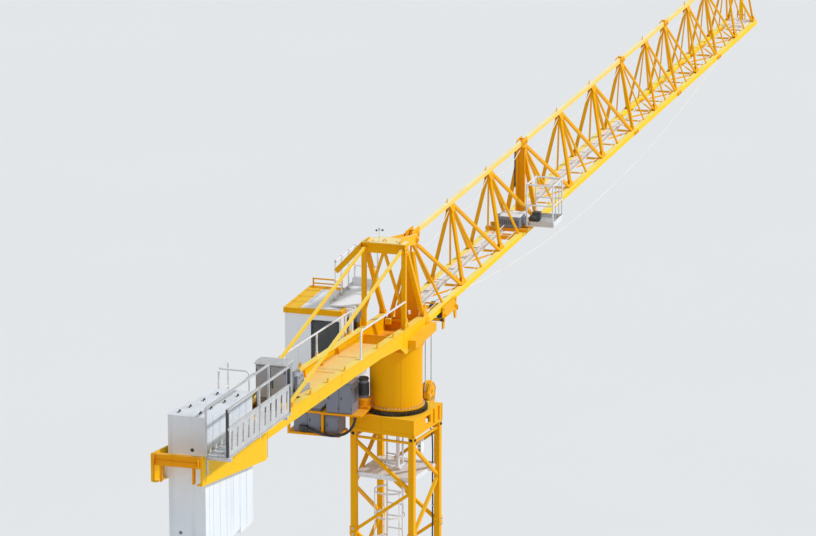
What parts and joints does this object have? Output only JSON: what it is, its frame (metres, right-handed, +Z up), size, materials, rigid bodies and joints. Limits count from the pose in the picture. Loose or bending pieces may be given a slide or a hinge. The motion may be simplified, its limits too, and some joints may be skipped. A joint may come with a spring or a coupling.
{
  "type": "tower crane, 1:2 scale model",
  "caption": "Top-slewing tower crane at half size: lattice mast, slewing pivot, cab, flat counter-jib with ballast and a triangular jib with trolley and hook.",
  "frame": {"origin": "on the ground under the slewing axis, on the flat underside of the base frame", "axes": "+X along the jib towards its tip, +Y towards the cab side, +Z up along the mast"},
  "size_m": [25.396, 1.907, 12.4816],
  "materials": {
    "yellow_paint": "satin",
    "orange_paint": "satin",
    "white_paint": "satin",
    "grey_paint": "satin",
    "galvanised": "matte zinc",
    "dark_steel": "greased",
    "rope": "stranded",
    "concrete": "painted white",
    "glass": "tinted"
  },
  "bodies": {
    "mast": {"base_frame": "yellow_paint", "mast_rear_side": "yellow_paint", "mast_front_side": "yellow_paint", "mast_left_bracing": "yellow_paint", "mast_right_bracing": "yellow_paint", "mast_ladder": "galvanised", "mast_platforms": "galvanised", "ring_support": "yellow_paint", "slewing_gear": "dark_steel"},
    "upper": {"slewing_pivot": "yellow_paint", "slewing_frame": "orange_paint", "slewing_drives": "grey_paint", "electric_cabinets": "grey_paint", "ring_platform": "orange_paint", "cab_shell": "white_paint", "cab_glass": "glass", "cab_roof_panel": "yellow_paint", "cab_frame": "orange_paint", "access_platform": "galvanised", "head_rear_frame": "yellow_paint", "head_front_frame": "yellow_paint", "head_top": "orange_paint", "head_davit": "yellow_paint", "counter_beam_left": "yellow_paint", "counter_beam_right": "yellow_paint", "counter_floor": "yellow_paint", "ballast_cross_beam": "orange_paint", "ballast_slabs": "concrete", "counter_rails": "galvanised", "side_walkway": "galvanised", "hoist_winch": "grey_paint", "tie_bars": "yellow_paint", "jib_left_inner": "yellow_paint", "jib_right_inner": "yellow_paint", "jib_bottom_inner": "yellow_paint", "jib_left_outer": "yellow_paint", "jib_right_outer": "yellow_paint", "jib_bottom_outer": "yellow_paint", "jib_top_chord": "yellow_paint", "jib_walkway": "white_paint", "jib_tip": "yellow_paint", "trolley_winch": "grey_paint", "service_basket": "galvanised", "jib_ropes": "rope", "hoist_run": "rope"},
    "trolley": {"trolley_frame": "yellow_paint", "trolley_rollers": "dark_steel", "hoist_falls": "rope"},
    "hook_block": {"hook_block": "yellow_paint"},
    "hook": {"hook": "dark_steel"}
  },
  "joints": [
    {"name": "slewing", "type": "hinge", "parent": "mast", "child": "upper", "pos_m": [0, 0, 10.34], "axis": [0, 0, 1], "continuous": true},
    {"name": "trolley_travel", "type": "slide", "parent": "upper", "child": "trolley", "axis": [1, 0, 0], "range_m": [-0.3, 16.2], "deforming": ["hoist_run"]},
    {"name": "hoist", "type": "slide", "parent": "trolley", "child": "hook_block", "axis": [0, 0, 1], "range_m": [-9.6, 0.6], "deforming": ["hoist_falls"]},
    {"name": "hook_swivel", "type": "hinge", "parent": "hook_block", "child": "hook", "pos_m": [1.29, 0, 10], "axis": [0, 0, 1], "continuous": true}
  ]
}
